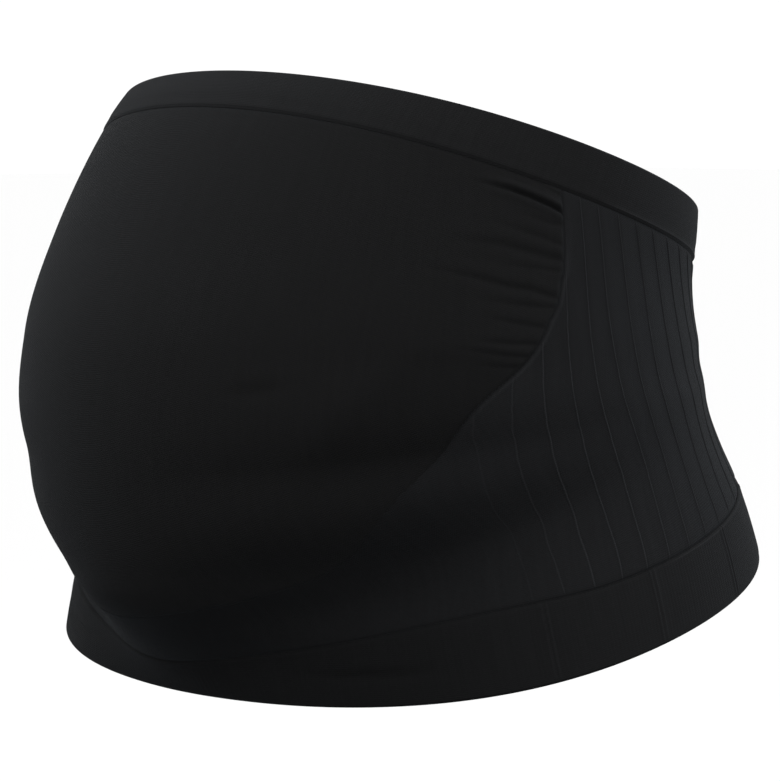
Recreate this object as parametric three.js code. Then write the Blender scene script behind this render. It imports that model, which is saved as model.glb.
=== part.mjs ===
import * as THREE from "three";

// A seamless knitted maternity support band, in the form that it has when it is worn.
// Sizes are in millimetres. The front is -Y, the wearer's left is +X and up is +Z. The origin
// is on the body's axis, level with the hem at the hips.

// The body that the band is stretched over
const hipHalfWidth = 180;
const torsoReach = 118;
const bellyReach = 68;
const backReach = 120;

// Height of the hem above the origin, and of the band above its hem, round the body
const hemLevel = { front: -32, side: 1.5, back: 38 };
const bandHeight = { front: 265, side: 192, back: 124 };

// Double-knit bands along the two edges, measured along the cloth
const topBandHeight = 22;
const hemBandHeight = 36;
const bandWall = 2.4;
const bandProud = 0.5;
const foldRadius = 1.2;

// Single-knit panels between the two bands
const panelWall = 1.6;
const panelHalfAngle = 77.6;
const seamGap = 0.35;

// Raised pleat lines of the support panel
const pleatPitch = 15.3;
const pleatHeight = 0.9;
const pleatWidth = 3.4;
const pleatStartAngle = 45;

// Gathers where the belly panel is ruched on to the support panel
const gatherDepth = 1.5;
const gatherReachAngle = 20;

// Soft crease across the hem band, under each side of the belly
const creaseDepth = 1.0;
const creaseHeight = 15;
const creaseAngle = 31;
const creaseSpread = 13;

// Sections of the body from the hem up to the top edge. The widths and reaches are shares of
// the sizes above, the rises are shares of the band's height at the front, side and back.
// Sharpness says how closely the bump keeps to the middle, squareness how boxy the section is.
const sectionColumns = [
  "level", "width", "torso", "back", "belly", "sharpness", "frontRise", "sideRise", "backRise", "squareness",
];
const sectionRows = [
  [0.00, 0.980, 1.090, 0.940, 0.00, 110.0, 0.000, 0.00, 0.00, 0.045],
  [0.10, 0.947, 1.100, 0.900, 0.14, 100.0, 0.054, 0.10, 0.14, 0.042],
  [0.18, 0.918, 1.095, 0.872, 0.38,  56.0, 0.114, 0.18, 0.25, 0.040],
  [0.25, 0.885, 1.010, 0.860, 0.73,  25.0, 0.165, 0.26, 0.33, 0.034],
  [0.32, 0.858, 0.885, 0.860, 1.02,   9.2, 0.218, 0.34, 0.40, 0.030],
  [0.45, 0.845, 0.840, 0.860, 1.20,   3.2, 0.380, 0.47, 0.52, 0.020],
  [0.60, 0.830, 0.880, 0.860, 1.07,   2.1, 0.570, 0.61, 0.63, 0.020],
  [0.75, 0.815, 0.890, 0.860, 0.74,   1.6, 0.750, 0.75, 0.73, 0.020],
  [0.90, 0.805, 0.870, 0.880, 0.33,   1.4, 0.930, 0.89, 0.86, 0.020],
  [1.00, 0.800, 0.870, 0.900, 0.06,   1.4, 1.000, 1.00, 1.00, 0.020],
];

// Lower and side edge of the belly panel, from the middle of the front round to the groove
// under the top band: around is a share of panelHalfAngle, up a share of the way between the
// grooves.
const edgeColumns = ["around", "up"];
const edgeRows = [
  [0.00, 0.13],
  [0.26, 0.15],
  [0.50, 0.23],
  [0.67, 0.34],
  [0.80, 0.46],
  [0.90, 0.57],
  [0.95, 0.66],
  [0.985, 0.77],
  [0.997, 0.88],
  [1.00, 1.00],
];

// Gathers of the belly panel: up is a share of the way between the grooves, reach and depth
// are shares of gatherReachAngle and gatherDepth. A crest's half width is a share of the way
// between the grooves.
const gatherHalfWidth = 0.03;
const gatherColumns = ["up", "reach", "depth"];
const gatherRows = [
  [0.95, 0.90, 1.00],
  [0.84, 0.75, 0.70],
  [0.74, 1.00, 0.80],
  [0.67, 0.50, 0.60],
  [0.61, 0.45, 0.60],
  [0.56, 0.40, 0.50],
];

// How far the knit's wales lean from the body's own meridians, in degrees, over the height
// between the grooves. The lean is to the back where it is positive.
const leanColumns = ["up", "lean"];
const leanRows = [
  [0.00, 0.0],
  [0.15, -0.3],
  [0.30, 0.0],
  [0.45, 1.5],
  [0.60, 2.5],
  [0.75, 1.9],
  [0.87, 0.0],
  [1.00, -4.0],
];

// Mesh density
const supportRows = 6;
const bellyHalfColumns = 9;
const bellyBottomColumns = 9;
const columnMerge = 0.12;
const walkStep = 0.01;
const slopeStep = 0.002;
const girthParts = 180;
const bisections = 40;

function tableColumn(columns, rows, name) {
  const index = columns.indexOf(name);
  return rows.map((row) => row[index]);
}

// A smooth curve through the rows of a table, as a function of its first column.
function smoothCurve(xs, ys) {
  const steps = xs.slice(1).map((x, i) => x - xs[i]);
  const rates = steps.map((step, i) => (ys[i + 1] - ys[i]) / step);
  const slopes = ys.map((_, i) => {
    if (i === 0 || i === ys.length - 1) {
      return 0;
    }
    return (rates[i - 1] * steps[i] + rates[i] * steps[i - 1]) / (steps[i - 1] + steps[i]);
  });
  slopes[0] = 1.5 * rates[0] - 0.5 * slopes[1];
  slopes[ys.length - 1] = 1.5 * rates[rates.length - 1] - 0.5 * slopes[ys.length - 2];
  return (x) => {
    const above = xs.findIndex((value) => value > x);
    const i = above < 0 ? steps.length - 1 : Math.max(above - 1, 0);
    const t = (x - xs[i]) / steps[i];
    const bend = (1 - t) * (slopes[i] - rates[i]) - t * (slopes[i + 1] - rates[i]);
    return ys[i] + steps[i] * t * (rates[i] + (1 - t) * bend);
  };
}

function tableCurve(columns, rows, from, to) {
  return smoothCurve(tableColumn(columns, rows, from), tableColumn(columns, rows, to));
}

const section = {};
for (const name of sectionColumns.slice(1)) {
  section[name] = tableCurve(sectionColumns, sectionRows, "level", name);
}
const leanAt = tableCurve(leanColumns, leanRows, "up", "lean");
const edgeUp = tableCurve(edgeColumns, edgeRows, "around", "up");

// A value that runs smoothly from the front of the body through its side to its back.
function aroundBody(angle, front, side, back) {
  const middle = (front + back) / 2;
  const swing = ((front - back) / 2) * Math.cos(angle);
  return (middle + side) / 2 + swing + ((middle - side) / 2) * Math.cos(2 * angle);
}

// A point of the band's outer face. The angle is 0 at the front and a quarter turn at the
// wearer's left side, the level runs from 0 at the hem to 1 at the top edge.
function formPoint(angle, level) {
  const squareness = section.squareness(level);
  const halfWidth = (hipHalfWidth * section.width(level)) / (1 - squareness);
  const nearFront = (1 + Math.cos(angle)) / 2;
  const bump = bellyReach * section.belly(level) * nearFront ** section.sharpness(level);
  const front = -torsoReach * section.torso(level);
  const back = backReach * section.back(level);
  return new THREE.Vector3(
    halfWidth * (Math.sin(angle) + squareness * Math.sin(3 * angle)),
    aroundBody(angle, front, 0, back) - bump,
    aroundBody(
      angle,
      hemLevel.front + bandHeight.front * section.frontRise(level),
      hemLevel.side + bandHeight.side * section.sideRise(level),
      hemLevel.back + bandHeight.back * section.backRise(level),
    ),
  );
}

function formNormal(angle, level) {
  const sideways = formPoint(angle + slopeStep, level).sub(formPoint(angle - slopeStep, level));
  const upwards = formPoint(angle, level + slopeStep).sub(formPoint(angle, level - slopeStep));
  return sideways.cross(upwards).normalize();
}

// The level that lies a distance along the cloth from the hem, or from the top edge down.
function levelFrom(edge, angle, distance) {
  const step = edge === "hem" ? walkStep : -walkStep;
  let level = edge === "hem" ? 0 : 1;
  let left = distance;
  let here = formPoint(angle, level);
  for (;;) {
    const next = formPoint(angle, level + step);
    const stride = next.distanceTo(here);
    if (stride >= left) {
      return level + (step * left) / stride;
    }
    left -= stride;
    level += step;
    here = next;
  }
}

// Angle on the body of a wale of the knit, given in degrees from the front.
function waleAngle(wale, up) {
  const sideness = Math.sin(THREE.MathUtils.degToRad(wale));
  return THREE.MathUtils.degToRad(wale + leanAt(up) * sideness);
}

// A place on the cloth: its point on the outer face and the direction out of the cloth.
function placeOn(angle, level) {
  return { point: formPoint(angle, level), out: formNormal(angle, level) };
}

function panelPlace(wale, up) {
  const angle = waleAngle(wale, up);
  const low = levelFrom("hem", angle, hemBandHeight + seamGap / 2);
  const high = levelFrom("top", angle, topBandHeight + seamGap / 2);
  return placeOn(angle, low + (high - low) * up);
}

function offsetPoint(place, distance) {
  return place.point.clone().addScaledVector(place.out, distance);
}

// Girth of the band halfway up.
function middleGirth() {
  let girth = 0;
  for (let i = 0; i < girthParts; i += 1) {
    const start = formPoint((2 * Math.PI * i) / girthParts, 0.5);
    girth += start.distanceTo(formPoint((2 * Math.PI * (i + 1)) / girthParts, 0.5));
  }
  return girth;
}

// Turn from one pleat to the next, in degrees, so that whole pleats go round the body.
const girth = middleGirth();
const pitch = 360 / Math.round(girth / pleatPitch);
const pleatHalfAngle = (180 * pleatWidth) / girth;

// Wales of the pleats on the wearer's left side, from the front to the back.
function pleatCentres() {
  const centres = [];
  for (let wale = 180 - pitch / 2; wale > pleatStartAngle; wale -= pitch) {
    centres.unshift(wale);
  }
  return centres;
}

// Wales of one half of the front: from the middle, every half pitch, up to the first pleat.
function plainWales() {
  const wales = [];
  const end = pleatCentres()[0] - pleatHalfAngle - pitch / 4;
  for (let wale = 0; wale < end; wale += pitch / 2) {
    wales.push(wale);
  }
  return wales;
}

// Heights of the crests of the gathers and of the hollows between them.
function gatherHeights() {
  const crests = tableColumn(gatherColumns, gatherRows, "up");
  const hollows = crests.slice(1).map((crest, i) => (crest + crests[i]) / 2);
  return [...crests, ...hollows];
}

// The wale at which the belly panel's edge reaches a height.
function edgeWale(up) {
  let low = 0;
  let high = 1;
  for (let i = 0; i < bisections; i += 1) {
    const middle = (low + high) / 2;
    if (edgeUp(middle) < up) {
      low = middle;
    } else {
      high = middle;
    }
  }
  return low * panelHalfAngle;
}

// Columns of the support panel on the wearer's left side, each a wale and how far it is
// raised: the front, the pleats, the belly panel's upper corner and its gathers.
function leftColumns() {
  const plain = plainWales().map((wale) => ({ wale, lift: 0 }));
  const pleats = pleatCentres().flatMap((centre) => [
    { wale: centre - pleatHalfAngle, lift: 0 },
    { wale: centre, lift: pleatHeight },
    { wale: centre + pleatHalfAngle, lift: 0 },
  ]);
  const isNear = (wale) => (column) => Math.abs(column.wale - wale) < columnMerge;
  const isNearCorner = isNear(panelHalfAngle);
  const columns = [...plain, ...pleats].filter((column) => !isNearCorner(column));
  columns.push({ wale: panelHalfAngle, lift: 0 });
  for (const wale of gatherHeights().map(edgeWale)) {
    if (!columns.some(isNear(wale))) {
      columns.push({ wale, lift: 0 });
    }
  }
  return columns.sort((a, b) => a.wale - b.wale);
}

function withMirror(columns) {
  const rightColumns = columns.filter((column) => column.wale > 0).reverse();
  return [...rightColumns.map((column) => ({ ...column, wale: -column.wale })), ...columns];
}

const allColumns = withMirror(leftColumns());

function isFrontColumn(column) {
  return Math.abs(column.wale) <= panelHalfAngle;
}

function topOfColumn(column) {
  return isFrontColumn(column) ? Math.min(edgeUp(Math.abs(column.wale) / panelHalfAngle), 1) : 1;
}

// The line where the belly panel meets the support panel, from the wearer's right to left,
// with the direction in the cloth that points from the line into the belly panel.
function panelSeam() {
  const seam = allColumns.filter(isFrontColumn).map((column) => {
    const up = topOfColumn(column);
    return { ...column, up, ...panelPlace(column.wale, up) };
  });
  seam.forEach((place, i) => {
    const before = seam[Math.max(i - 1, 0)].point;
    const after = seam[Math.min(i + 1, seam.length - 1)].point;
    const along = after.clone().sub(before).normalize();
    place.inwards = place.out.clone().cross(along).normalize();
  });
  return seam;
}

const seam = panelSeam();

// How far a gather lifts the belly panel off the body's form.
function gatherLift(wale, up) {
  const inside = edgeWale(up) - Math.abs(wale);
  let lift = 0;
  for (const [crest, reach, depth] of gatherRows) {
    const across = Math.exp(-(((up - crest) / gatherHalfWidth) ** 2));
    const fade = Math.max(0, 1 - inside / (gatherReachAngle * reach));
    lift += gatherDepth * depth * across * fade * fade;
  }
  return lift;
}

function geometryFrom(points, triangles) {
  const geometry = new THREE.BufferGeometry();
  const positions = points.flatMap((point) => [point.x, point.y, point.z]);
  geometry.setAttribute("position", new THREE.Float32BufferAttribute(positions, 3));
  geometry.setIndex(triangles);
  geometry.computeVertexNormals();
  return geometry;
}

// A closed ring from loops of points that follow one another round the body. Each loop runs up
// the outer face and down the inner one.
function ringGeometry(loops) {
  const size = loops[0].length;
  const triangles = [];
  loops.forEach((_, i) => {
    const here = i * size;
    const next = ((i + 1) % loops.length) * size;
    for (let j = 0; j < size; j += 1) {
      const k = (j + 1) % size;
      triangles.push(here + j, next + j, next + k);
      triangles.push(here + j, next + k, here + k);
    }
  });
  return geometryFrom(loops.flat(), triangles);
}

// A closed sheet from rows of outer points and rows of inner points, with walls at its edges.
function sheetGeometry(outer, inner) {
  const rows = outer.length;
  const columns = outer[0].length;
  const points = [...outer.flat(), ...inner.flat()];
  const back = rows * columns;
  const at = (row, column) => row * columns + column;
  const triangles = [];
  for (let row = 0; row + 1 < rows; row += 1) {
    for (let column = 0; column + 1 < columns; column += 1) {
      const [a, b] = [at(row, column), at(row, column + 1)];
      const [c, d] = [at(row + 1, column + 1), at(row + 1, column)];
      triangles.push(a, b, c, a, c, d);
      triangles.push(back + a, back + c, back + b, back + a, back + d, back + c);
    }
  }
  const rim = [];
  for (let column = 0; column < columns - 1; column += 1) {
    rim.push(at(0, column));
  }
  for (let row = 0; row < rows - 1; row += 1) {
    rim.push(at(row, columns - 1));
  }
  for (let column = columns - 1; column > 0; column -= 1) {
    rim.push(at(rows - 1, column));
  }
  for (let row = rows - 1; row > 0; row -= 1) {
    rim.push(at(row, 0));
  }
  rim.forEach((a, i) => {
    const b = rim[(i + 1) % rim.length];
    triangles.push(a, back + a, back + b, a, back + b, b);
  });
  return geometryFrom(points, triangles);
}

// Double-knit band between two distances from one edge of the cloth, with a folded free edge.
// Each point of its section is a distance from that edge and an offset from the outer face.
function bandGeometry(edge, height, dentAt) {
  const seamSide = height - seamGap / 2;
  const inside = bandProud - bandWall;
  const middle = bandProud - bandWall / 2;
  const half = Math.round(360 / pitch);
  const loops = [];
  for (let i = 0; i < 2 * half; i += 1) {
    const wale = (i * pitch) / 2;
    const angle = waleAngle(wale, edge === "hem" ? 0 : 1);
    const sectionPoints = [
      [seamSide, inside],
      [foldRadius, inside],
      [0, middle],
      [foldRadius, bandProud],
      [creaseHeight, bandProud - dentAt(wale)],
      [seamSide, 0],
    ];
    const loop = sectionPoints.map(([distance, offset]) => {
      return offsetPoint(placeOn(angle, levelFrom(edge, angle, distance)), offset);
    });
    loops.push(edge === "hem" ? loop : loop.reverse());
  }
  return ringGeometry(loops);
}

function topBandGeometry() {
  return bandGeometry("top", topBandHeight, () => 0);
}

function hemBandGeometry() {
  return bandGeometry("hem", hemBandHeight, (wale) => {
    const fromFront = Math.min(wale, 360 - wale);
    return creaseDepth * Math.exp(-(((fromFront - creaseAngle) / creaseSpread) ** 2));
  });
}

// Support panel: the sides, the back and the sling under the belly, with its pleat lines.
function supportGeometry() {
  const loops = allColumns.map((column) => {
    const top = topOfColumn(column);
    const places = [];
    for (let row = 0; row <= supportRows; row += 1) {
      places.push(panelPlace(column.wale, (top * row) / supportRows));
    }
    const met = seam.find((place) => place.wale === column.wale);
    if (met) {
      places[supportRows].point.addScaledVector(met.inwards, -seamGap / 2);
    }
    const outer = places.map((place) => offsetPoint(place, column.lift));
    const inner = places.map((place) => offsetPoint(place, -panelWall));
    return [...outer, ...inner.reverse()];
  });
  return ringGeometry(loops);
}

// Belly panel: rows that run from one side of its edge to the other, with closer columns near
// the ruched sides.
function bellyGeometry() {
  const middle = (seam.length - 1) / 2;
  const outer = [];
  const inner = [];
  for (let side = bellyBottomColumns; side <= middle; side += 1) {
    const right = seam[middle - side];
    const left = seam[middle + side];
    const ease = Math.min(1, (side - bellyBottomColumns) / bellyHalfColumns);
    const row = [];
    for (let column = -bellyHalfColumns; column <= bellyHalfColumns; column += 1) {
      row.push(bellyPlace(right, left, column / bellyHalfColumns, ease, side === bellyBottomColumns));
    }
    outer.push(row.map((place) => offsetPoint(place, place.lift)));
    inner.push(row.map((place) => offsetPoint(place, place.lift - panelWall)));
  }
  return sheetGeometry(outer, inner);
}

function bellyPlace(right, left, share, ease, isBottomRow) {
  const middle = (seam.length - 1) / 2;
  const onSeam = isBottomRow ? seam[middle + Math.round(share * bellyBottomColumns)] : null;
  const end = onSeam ?? (share === -1 ? right : share === 1 ? left : null);
  if (end) {
    const lift = isBottomRow ? 0 : gatherLift(end.wale, end.up);
    return { point: end.point.clone().addScaledVector(end.inwards, seamGap / 2), out: end.out, lift };
  }
  const crowded = Math.sign(share) * Math.sin((Math.abs(share) * Math.PI) / 2);
  const wale = left.wale * (share + (crowded - share) * ease);
  return { ...panelPlace(wale, left.up), lift: gatherLift(wale, left.up) };
}

function knit(color, roughness) {
  return new THREE.MeshStandardMaterial({ color, roughness, metalness: 0 });
}

function piece(name, geometry, material) {
  const mesh = new THREE.Mesh(geometry, material);
  mesh.name = name;
  return mesh;
}

const band = new THREE.Group();
band.add(piece("top_band", topBandGeometry(), knit(0x222326, 0.9)));
band.add(piece("belly_panel", bellyGeometry(), knit(0x1b1b1d, 0.95)));
band.add(piece("support_panel", supportGeometry(), knit(0x232428, 0.9)));
band.add(piece("bottom_band", hemBandGeometry(), knit(0x1f2023, 0.9)));

export default band;
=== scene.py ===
"""Looks of a seamless knitted maternity support band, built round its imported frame.

The band has the form that it takes when it is worn. Lengths are in metres, the front is -Y, the
wearer's left is +X and up is +Z. A place on the cloth is given by its wale, the column of the
knit in degrees from the middle of the front, and by up, its share of the way between the two
grooves.
"""

import logging
import math
from collections.abc import Callable, Mapping, Sequence
from dataclasses import dataclass, field
from enum import Enum
from functools import cached_property
from typing import NamedTuple

import bpy
import numpy as np
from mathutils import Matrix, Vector


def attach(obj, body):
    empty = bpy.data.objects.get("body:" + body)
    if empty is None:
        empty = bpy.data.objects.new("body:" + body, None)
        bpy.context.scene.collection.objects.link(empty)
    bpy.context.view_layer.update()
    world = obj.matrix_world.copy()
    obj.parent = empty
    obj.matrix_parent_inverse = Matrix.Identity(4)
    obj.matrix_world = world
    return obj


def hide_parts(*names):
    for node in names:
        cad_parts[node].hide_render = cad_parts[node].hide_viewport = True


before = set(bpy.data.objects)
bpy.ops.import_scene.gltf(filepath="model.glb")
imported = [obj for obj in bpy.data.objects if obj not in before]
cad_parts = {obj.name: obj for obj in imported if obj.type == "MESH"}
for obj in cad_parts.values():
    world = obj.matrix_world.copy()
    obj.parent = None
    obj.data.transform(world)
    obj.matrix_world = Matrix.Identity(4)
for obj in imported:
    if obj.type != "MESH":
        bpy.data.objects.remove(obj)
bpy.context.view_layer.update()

LOG = logging.getLogger("support_band")
BODY = "root"
UV_NAME = "UVMap"
MM = 0.001
TURN = 360.0
TINY = 1e-9

Array = np.ndarray
Span = tuple[float, float]
Socket = bpy.types.NodeSocket
Material = bpy.types.Material
Piece = bpy.types.Object


# --------------------------------------------------------------------------- node building


def operator(operation: str, swapped: bool = False) -> Callable[["Value", object], "Value"]:
    """A method of Value that adds a Math node of the value and one other operand."""

    def method(value: "Value", other: object) -> "Value":
        """Adds the node."""
        operands = (other, value) if swapped else (value, other)
        return value.kit.math(operation, *operands)

    return method


class Value:
    """A number socket of a node tree, on which Python's operators add Math nodes."""

    def __init__(self, kit: "NodeKit", socket: Socket) -> None:
        self.kit = kit
        self.socket = socket

    def math(self, operation: str, *others: object) -> "Value":
        """Adds a Math node whose first operand is this value.

        Args:
            operation: The Math node's operation.
            others: The further operands, each a Value or a number.

        Returns:
            The node's result.
        """
        return self.kit.math(operation, self, *others)

    __add__ = __radd__ = operator("ADD")
    __sub__ = operator("SUBTRACT")
    __rsub__ = operator("SUBTRACT", swapped=True)
    __mul__ = __rmul__ = operator("MULTIPLY")
    __truediv__ = operator("DIVIDE")

    def __abs__(self) -> "Value":
        """Size without the sign."""
        return self.math("ABSOLUTE")

    def cycle(self) -> "Value":
        """Share of the way through the present whole step, from 0 to 1."""
        return self.math("FRACT")

    def from_nearest(self) -> "Value":
        """Difference from the nearest whole number."""
        return self - self.math("ROUND")

    def above(self, limit: object) -> "Value":
        """1 where the value is greater than the limit, else 0."""
        return self.math("GREATER_THAN", limit)

    def at_most(self, limit: object) -> "Value":
        """The smaller of the value and the limit."""
        return self.math("MINIMUM", limit)

    def hump(self) -> "Value":
        """A smooth hump, 1 where the value is 0 and 0 from 1 on."""
        side = abs(self).at_most(1.0)
        rest = 1.0 - side * side
        return rest * rest


class NodeKit:
    """Adds nodes and links to one node tree."""

    math_type = "ShaderNodeMath"

    def __init__(self, tree: bpy.types.NodeTree) -> None:
        """Keeps the tree and clears it."""
        self.tree = tree
        self.tree.nodes.clear()

    def add(
        self,
        kind: str,
        settings: Mapping[str, object] | None = None,
        inputs: Mapping[str | int, object] | None = None,
    ) -> bpy.types.Node:
        """Adds a node, sets it up and feeds its sockets.

        Args:
            kind: The node's type.
            settings: The node's own settings, such as an operation. They are set first.
            inputs: A value, a socket or a Value for each input socket, by name or place.

        Returns:
            The node.
        """
        node = self.tree.nodes.new(kind)
        for name, setting in (settings or {}).items():
            setattr(node, name, setting)
        for name, given in (inputs or {}).items():
            source = given.socket if isinstance(given, Value) else given
            if isinstance(source, Socket):
                self.tree.links.new(source, node.inputs[name])
            else:
                node.inputs[name].default_value = source
        return node

    def value(self, node: bpy.types.Node, output: str | int = 0) -> Value:
        """A node's output as a Value."""
        return Value(self, node.outputs[output])

    def math(self, operation: str, *operands: object) -> Value:
        """Adds a Math node and returns its result."""
        fed = dict(enumerate(operands))
        return self.value(self.add(self.math_type, {"operation": operation}, fed))


class GeometryKit(NodeKit):
    """Builds one Geometry Nodes tree with named inputs and bakes it into a piece."""

    def __init__(self, name: str, numbers: Mapping[str, float]) -> None:
        """Makes the tree with its geometry sockets and a named input for each number.

        Args:
            name: The tree's name.
            numbers: The number for each named input.
        """
        super().__init__(bpy.data.node_groups.new(name, "GeometryNodeTree"))
        self._socket("Geometry", "INPUT", "NodeSocketGeometry")
        self._socket("Geometry", "OUTPUT", "NodeSocketGeometry")
        self.numbers = {
            self._socket(key, "INPUT", "NodeSocketFloat"): float(numbers[key]) for key in numbers
        }
        self.entry = self.add("NodeGroupInput")
        self.sizes = [self.value(self.entry, key) for key in numbers]

    def _socket(self, name: str, way: str, kind: str) -> str:
        """Adds a socket to the tree's interface and returns its identifier."""
        return self.tree.interface.new_socket(name=name, in_out=way, socket_type=kind).identifier

    @property
    def geometry(self) -> Socket:
        """The geometry that comes into the tree."""
        return self.entry.outputs["Geometry"]

    def _attribute(self, name: str, kind: str) -> bpy.types.Node:
        """A node that reads what is stored on the piece's points."""
        return self.add("GeometryNodeInputNamedAttribute", {"data_type": kind}, {"Name": name})

    def number(self, name: str) -> Value:
        """A number that is stored on the piece's points."""
        return self.value(self._attribute(name, "FLOAT"), "Attribute")

    def direction(self, name: str) -> Socket:
        """A direction that is stored on the piece's points."""
        return self._attribute(name, "FLOAT_VECTOR").outputs["Attribute"]

    def raised(self, lift: Value) -> Socket:
        """The geometry that comes in, with each point moved out of the cloth by the lift."""
        fed = {0: self.direction("out"), "Scale": lift}
        offset = self.add("ShaderNodeVectorMath", {"operation": "SCALE"}, fed).outputs[0]
        fed = {"Geometry": self.geometry, "Offset": offset}
        return self.add("GeometryNodeSetPosition", None, fed).outputs["Geometry"]

    def stored(self, geometry: Socket, name: str, value: Value) -> Socket:
        """The geometry with a number stored on its points."""
        settings = {"data_type": "FLOAT", "domain": "POINT"}
        fed = {"Geometry": geometry, "Name": name, "Value": value}
        return self.add("GeometryNodeStoreNamedAttribute", settings, fed).outputs["Geometry"]

    def finish(self, geometry: Socket, material: Material) -> None:
        """Ends the tree: real meshes in one material."""
        real = self.add("GeometryNodeRealizeInstances", None, {"Geometry": geometry})
        fed = {"Geometry": real.outputs["Geometry"], "Material": material}
        dressed = self.add("GeometryNodeSetMaterial", None, fed)
        self.add("NodeGroupOutput", None, {"Geometry": dressed.outputs["Geometry"]})

    def bake(self, piece: Piece) -> None:
        """Runs the tree on a piece and keeps the result as the piece's plain mesh."""
        modifier = piece.modifiers.new(self.tree.name, "NODES")
        modifier.node_group = self.tree
        for identifier, number in self.numbers.items():
            modifier[identifier] = number
        graph = bpy.context.evaluated_depsgraph_get()
        made = bpy.data.meshes.new_from_object(
            piece.evaluated_get(graph), preserve_all_data_layers=True, depsgraph=graph
        )
        made.name = piece.name
        piece.modifiers.remove(modifier)
        raw = piece.data
        piece.data = made
        bpy.data.meshes.remove(raw)
        made.shade_smooth()


# --------------------------------------------------------------------------- the body's form


@dataclass(frozen=True)
class SmoothCurve:
    """A smooth curve through the rows of a table."""

    xs: Array
    ys: Array

    def __call__(self, x: Array | float) -> Array:
        """Heights of the curve at x."""
        steps = np.diff(self.xs)
        rates = np.diff(self.ys) / steps
        slopes = np.empty_like(self.ys)
        shared = rates[:-1] * steps[1:] + rates[1:] * steps[:-1]
        slopes[1:-1] = shared / (steps[:-1] + steps[1:])
        slopes[0] = 1.5 * rates[0] - 0.5 * slopes[1]
        slopes[-1] = 1.5 * rates[-1] - 0.5 * slopes[-2]
        i = np.clip(np.searchsorted(self.xs, x, side="right") - 1, 0, len(steps) - 1)
        t = (x - self.xs[i]) / steps[i]
        bend = (1 - t) * (slopes[i] - rates[i]) - t * (slopes[i + 1] - rates[i])
        return self.ys[i] + steps[i] * t * (rates[i] + (1 - t) * bend)


def smooth_step(x: Array, low: float, high: float) -> Array:
    """Rises smoothly from 0 at low to 1 at high."""
    t = np.clip((x - low) / (high - low), 0.0, 1.0)
    return t * t * (3 - 2 * t)


def plateau(x: Array, rise: Span, fall: Span) -> Array:
    """Rises smoothly from 0 to 1 over the first span and falls back to 0 over the second."""
    return smooth_step(x, *rise) * (1 - smooth_step(x, *fall))


def bell(away: Array, width: float) -> Array:
    """A soft hump of a width, 1 where away is 0."""
    return np.exp(-((away / width) ** 2))


def half_turn(angle: Array, turn: float = 2 * math.pi) -> Array:
    """The same angles, counted from half a turn before the front to half a turn after it."""
    return (np.asarray(angle) + turn / 2) % turn - turn / 2


def halved(
    low: Array, high: Array, measure: Callable[[Array], Array], rounds: int = 36
) -> Array:
    """Finds where a rising measure passes zero, by halving the way between two bounds.

    Args:
        low: Lower bounds.
        high: Upper bounds, kept where the measure stays below zero.
        measure: The measure of a trial value.
        rounds: How often the way is halved.

    Returns:
        The values found.
    """
    for _ in range(rounds):
        middle = (low + high) / 2
        short = measure(middle) < 0
        low, high = np.where(short, middle, low), np.where(short, high, middle)
    return high


def around_body(angle: Array, front: Array, side: object, back: Array) -> Array:
    """A value that runs smoothly from the front of the body through its side to its back."""
    middle = (front + back) / 2
    swing = (front - back) / 2 * np.cos(angle)
    return (middle + side) / 2 + swing + (middle - side) / 2 * np.cos(2 * angle)


class Edge(Enum):
    """The two folded edges of the band."""

    HEM = "hem"
    TOP = "top"


# The section of the body at each level of the cloth, from 0 at the hem to 1 at the top edge.
SECTION_NAMES = (
    "width", "torso", "back", "belly", "sharpness",
    "front_rise", "side_rise", "back_rise", "squareness",
)
SECTION_ROWS = (
    (0.00, 0.980, 1.090, 0.940, 0.00, 110.0, 0.000, 0.00, 0.00, 0.045),
    (0.10, 0.947, 1.100, 0.900, 0.14, 100.0, 0.054, 0.10, 0.14, 0.042),
    (0.18, 0.918, 1.095, 0.872, 0.38,  56.0, 0.114, 0.18, 0.25, 0.040),
    (0.25, 0.885, 1.010, 0.860, 0.73,  25.0, 0.165, 0.26, 0.33, 0.034),
    (0.32, 0.858, 0.885, 0.860, 1.02,   9.2, 0.218, 0.34, 0.40, 0.030),
    (0.45, 0.845, 0.840, 0.860, 1.20,   3.2, 0.380, 0.47, 0.52, 0.020),
    (0.60, 0.830, 0.880, 0.860, 1.07,   2.1, 0.570, 0.61, 0.63, 0.020),
    (0.75, 0.815, 0.890, 0.860, 0.74,   1.6, 0.750, 0.75, 0.73, 0.020),
    (0.90, 0.805, 0.870, 0.880, 0.33,   1.4, 0.930, 0.89, 0.86, 0.020),
    (1.00, 0.800, 0.870, 0.900, 0.06,   1.4, 1.000, 1.00, 1.00, 0.020),
)
# How far the wales lean to the back at each height, in degrees.
LEAN_ROWS = (
    (0.00, 0.0), (0.15, -0.3), (0.30, 0.0), (0.45, 1.5),
    (0.60, 2.5), (0.75, 1.9), (0.87, 0.0), (1.00, -4.0),
)
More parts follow.
